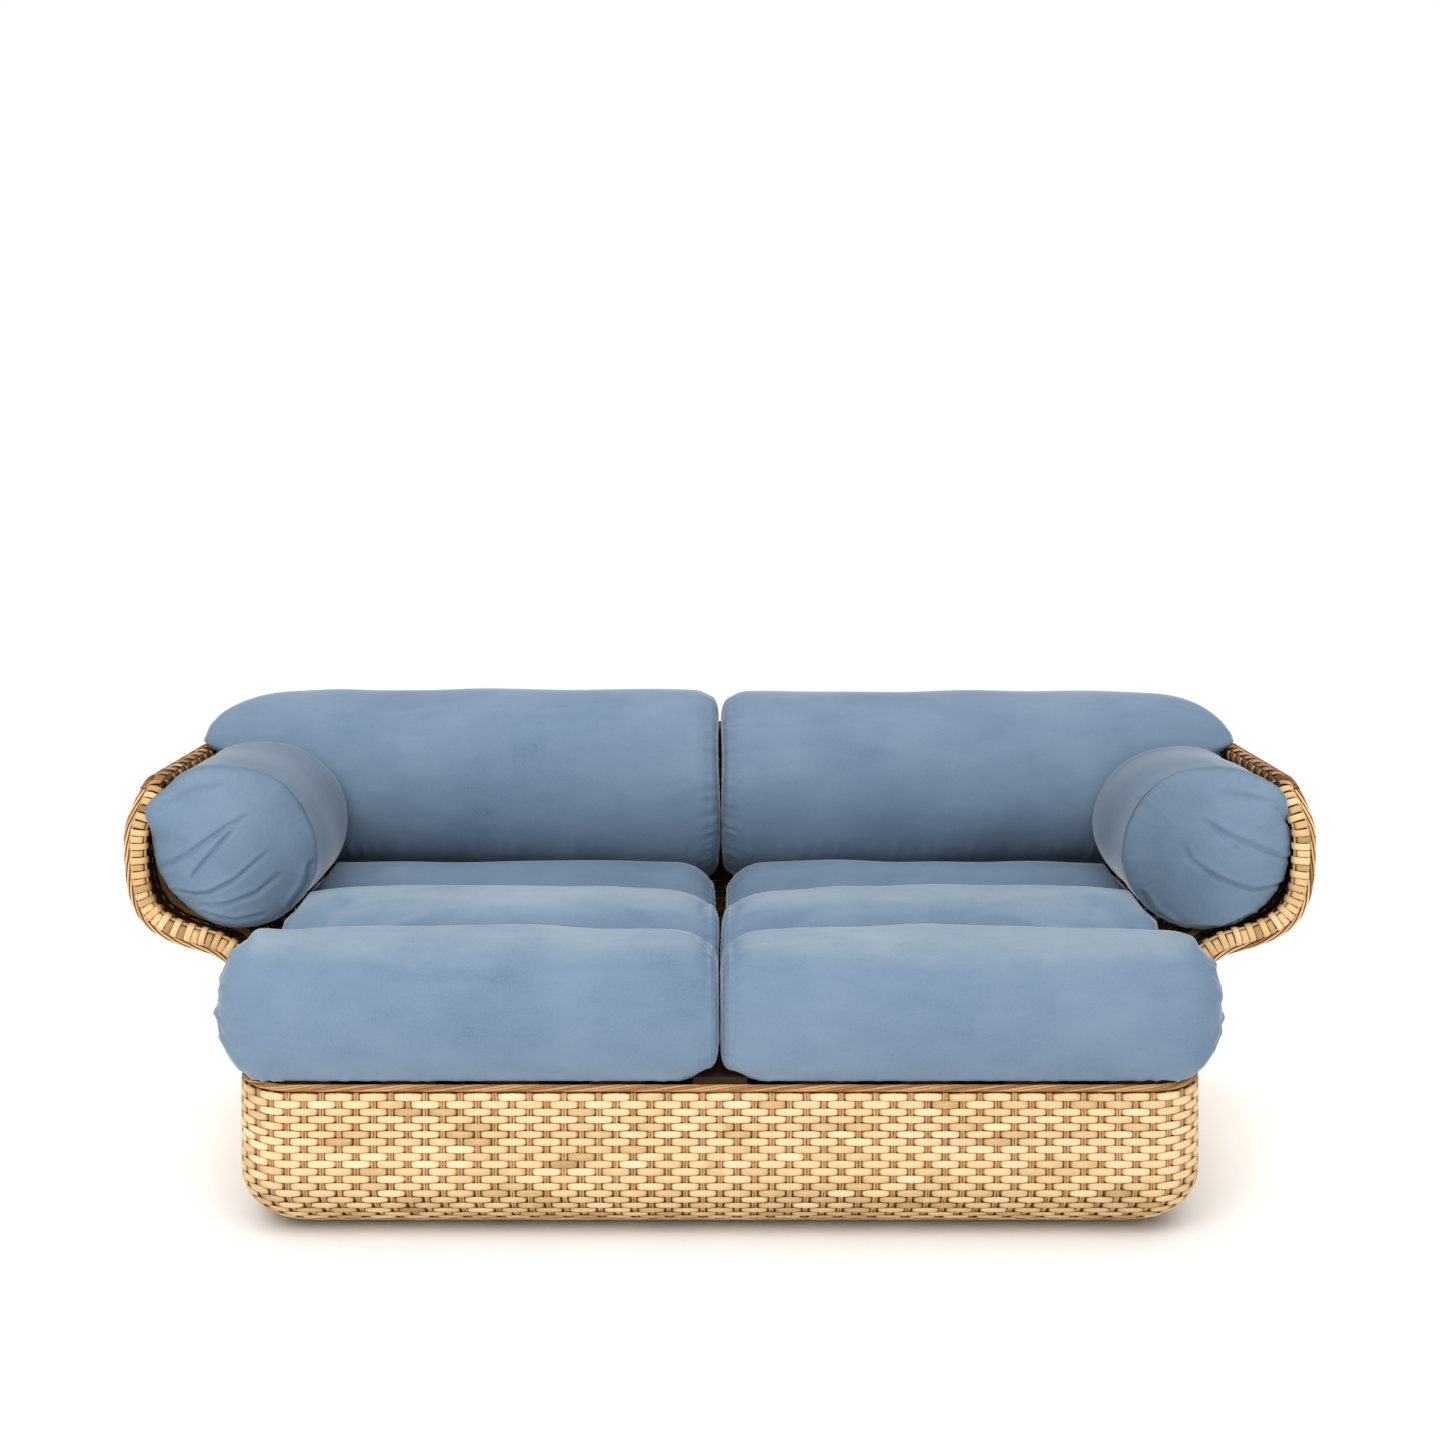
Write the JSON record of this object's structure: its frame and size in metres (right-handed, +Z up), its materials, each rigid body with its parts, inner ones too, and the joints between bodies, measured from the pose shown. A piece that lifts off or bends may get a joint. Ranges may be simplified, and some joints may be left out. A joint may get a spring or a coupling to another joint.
{
  "type": "rattan sofa",
  "caption": "Low woven rattan basket sofa on a bent-pole frame, with flared arms and back, loose ribbed seat cushions, roll back cushions and arm bolsters.",
  "frame": {"origin": "on the floor under the centre of the bounding box", "axes": "+X along the length, to the right of someone who faces the sofa; -Y towards that person; +Z up"},
  "size_m": [1.8436, 0.89, 0.6838],
  "materials": {
    "woven_rattan": "satin",
    "wrapped_rattan": "satin",
    "rattan_pole": "satin",
    "slat_wood": "matte",
    "velvet": "soft pile",
    "glide_plastic": "matte"
  },
  "bodies": {
    "basket": {"back_border": "wrapped_rattan", "back_rib_1": "rattan_pole", "back_rib_2": "rattan_pole", "back_rib_3": "rattan_pole", "back_rib_4": "rattan_pole", "back_rim": "wrapped_rattan", "back_weave": "woven_rattan", "base_weave": "woven_rattan", "belt_hoop": "rattan_pole", "centre_rail": "rattan_pole", "floor_hoop": "rattan_pole", "floor_stretcher_1": "rattan_pole", "floor_stretcher_2": "rattan_pole", "floor_stretcher_3": "rattan_pole", "front_rib_1": "rattan_pole", "front_rib_2": "rattan_pole", "front_rib_3": "rattan_pole", "front_rib_4": "rattan_pole", "front_rib_5": "rattan_pole", "front_rim": "wrapped_rattan", "glide_1": "glide_plastic", "glide_2": "glide_plastic", "glide_3": "glide_plastic", "glide_4": "glide_plastic", "glide_5": "glide_plastic", "glide_6": "glide_plastic", "left_arm_rib_1": "rattan_pole", "left_arm_rib_2": "rattan_pole", "left_arm_weave": "woven_rattan", "left_border": "wrapped_rattan", "left_front_corner_rib": "rattan_pole", "left_rear_corner_rib": "rattan_pole", "left_rim": "wrapped_rattan", "post_1": "rattan_pole", "post_2": "rattan_pole", "post_3": "rattan_pole", "right_arm_rib_1": "rattan_pole", "right_arm_rib_2": "rattan_pole", "right_arm_weave": "woven_rattan", "right_border": "wrapped_rattan", "right_front_corner_rib": "rattan_pole", "right_rear_corner_rib": "rattan_pole", "right_rim": "wrapped_rattan", "slat_1": "slat_wood", "slat_2": "slat_wood", "slat_3": "slat_wood", "slat_4": "slat_wood", "slat_5": "slat_wood", "slat_6": "slat_wood", "slat_7": "slat_wood", "slat_8": "slat_wood", "slat_9": "slat_wood"},
    "left_seat": {"left_seat_cushion": "velvet"},
    "right_seat": {"right_seat_cushion": "velvet"},
    "left_back": {"left_back_cushion": "velvet"},
    "right_back": {"right_back_cushion": "velvet"},
    "left_arm_bolster": {"left_bolster": "velvet"},
    "right_arm_bolster": {"right_bolster": "velvet"}
  },
  "joints": [
    {"name": "left_seat_draw", "type": "slide", "parent": "basket", "child": "left_seat", "axis": [0, -1, 0], "range_m": [0, 0.26]},
    {"name": "left_back_lift", "type": "slide", "parent": "basket", "child": "left_back", "axis": [0, 0, 1], "range_m": [0, 0.32]},
    {"name": "left_bolster_lift", "type": "slide", "parent": "basket", "child": "left_arm_bolster", "axis": [0.342, 0, 0.9397], "range_m": [0, 0.3]},
    {"name": "right_seat_draw", "type": "slide", "parent": "basket", "child": "right_seat", "axis": [0, -1, 0], "range_m": [0, 0.26]},
    {"name": "right_back_lift", "type": "slide", "parent": "basket", "child": "right_back", "axis": [0, 0, 1], "range_m": [0, 0.32]},
    {"name": "right_bolster_lift", "type": "slide", "parent": "basket", "child": "right_arm_bolster", "axis": [-0.342, 0, 0.9397], "range_m": [0, 0.3]}
  ]
}
